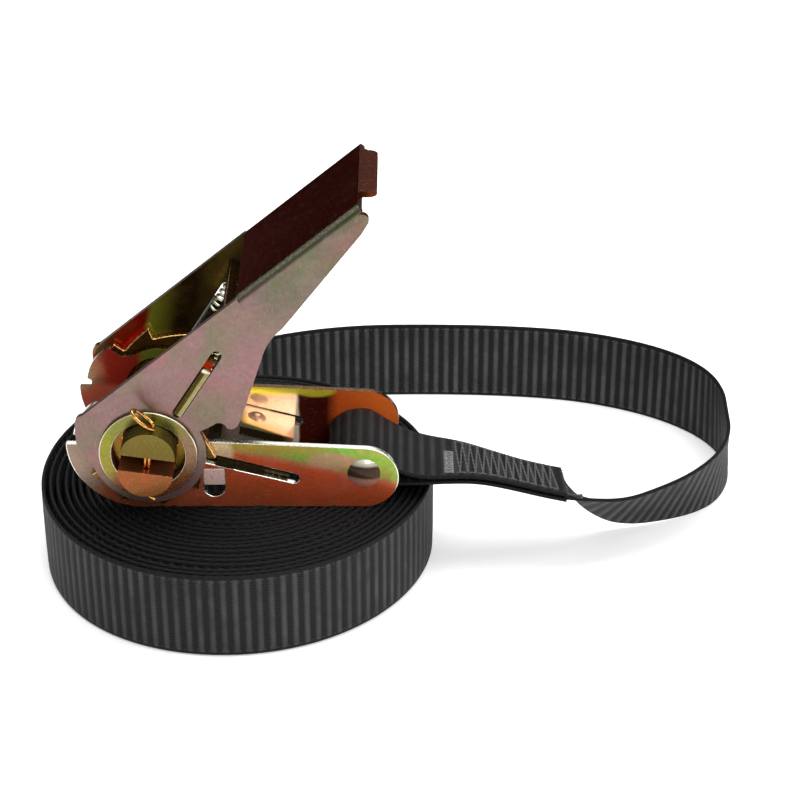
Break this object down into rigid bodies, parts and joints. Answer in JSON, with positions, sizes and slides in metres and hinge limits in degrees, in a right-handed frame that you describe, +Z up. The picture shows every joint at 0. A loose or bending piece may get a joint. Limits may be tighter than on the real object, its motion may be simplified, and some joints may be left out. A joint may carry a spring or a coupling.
{
  "type": "ratchet tie down",
  "caption": "Hand ratchet with toothed wheels, sliding pawls and split mandrel, standing open on its own flat coil of black webbing.",
  "frame": {"origin": "centre of the coil's underside, on the surface that the coil lies on", "axes": "+Z up, +X along the ratchet's frame towards the fixed strap pin, Y across the webbing in the ratchet"},
  "size_m": [0.194, 0.1362, 0.1166],
  "materials": {
    "plated_frame": "iridescent yellow zinc plate, glossy",
    "plated_handle": "iridescent yellow zinc plate, satin grey to pink",
    "plated_pawl": "iridescent yellow zinc plate",
    "plated_mandrel": "olive yellow zinc plate",
    "plated_wheel": "yellow zinc plate",
    "rivet_steel": "polished domed head",
    "cotter_wire": "drawn wire",
    "spring_wire": "drawn wire",
    "webbing": "woven polyester webbing with cross ribs, matte"
  },
  "bodies": {
    "frame": {"frame_plate_near": "plated_frame", "frame_plate_far": "plated_frame", "cross_bar": "plated_frame", "strap_pin": "rivet_steel", "lock_spring_near": "spring_wire", "lock_spring_far": "spring_wire", "strap_coil": "webbing", "strap_pin_loop": "webbing", "strap_sewn_end": "webbing", "strap_twist": "webbing", "strap_return": "webbing"},
    "handle": {"handle_shell": "plated_handle", "handle_spring_seat": "plated_handle", "drive_spring_near": "spring_wire", "drive_spring_far": "spring_wire"},
    "drive_pawl": {"drive_pawl": "plated_pawl"},
    "lock_pawl": {"lock_pawl": "plated_pawl"},
    "mandrel": {"mandrel_half_upper": "plated_mandrel", "mandrel_half_lower": "plated_mandrel", "ratchet_wheel_near": "plated_wheel", "ratchet_wheel_far": "plated_wheel", "retaining_washer_near": "plated_mandrel", "retaining_washer_far": "plated_mandrel", "cotter_pin_near": "cotter_wire", "cotter_pin_far": "cotter_wire"}
  },
  "joints": [
    {"name": "handle_hinge", "type": "hinge", "parent": "frame", "child": "handle", "pos_m": [-0.0222, -0.00545, 0.0445], "axis": [0, -1, 0], "range_deg": [-38, 74]},
    {"name": "drive_pawl_slide", "type": "slide", "parent": "handle", "child": "drive_pawl", "axis": [0.5329, 0, 0.8462], "range_m": [0, 0.005], "stiffness_N_per_m": 400, "springref_m": -0.004, "deforming": ["drive_spring_near", "drive_spring_far"]},
    {"name": "lock_pawl_slide", "type": "slide", "parent": "frame", "child": "lock_pawl", "axis": [0.9636, 0, -0.2672], "range_m": [0, 0.006], "stiffness_N_per_m": 400, "springref_m": -0.004, "deforming": ["lock_spring_near", "lock_spring_far"]},
    {"name": "mandrel_spin", "type": "hinge", "parent": "handle", "child": "mandrel", "pos_m": [-0.0222, -0.00545, 0.0445], "axis": [0, -1, 0], "continuous": true}
  ]
}
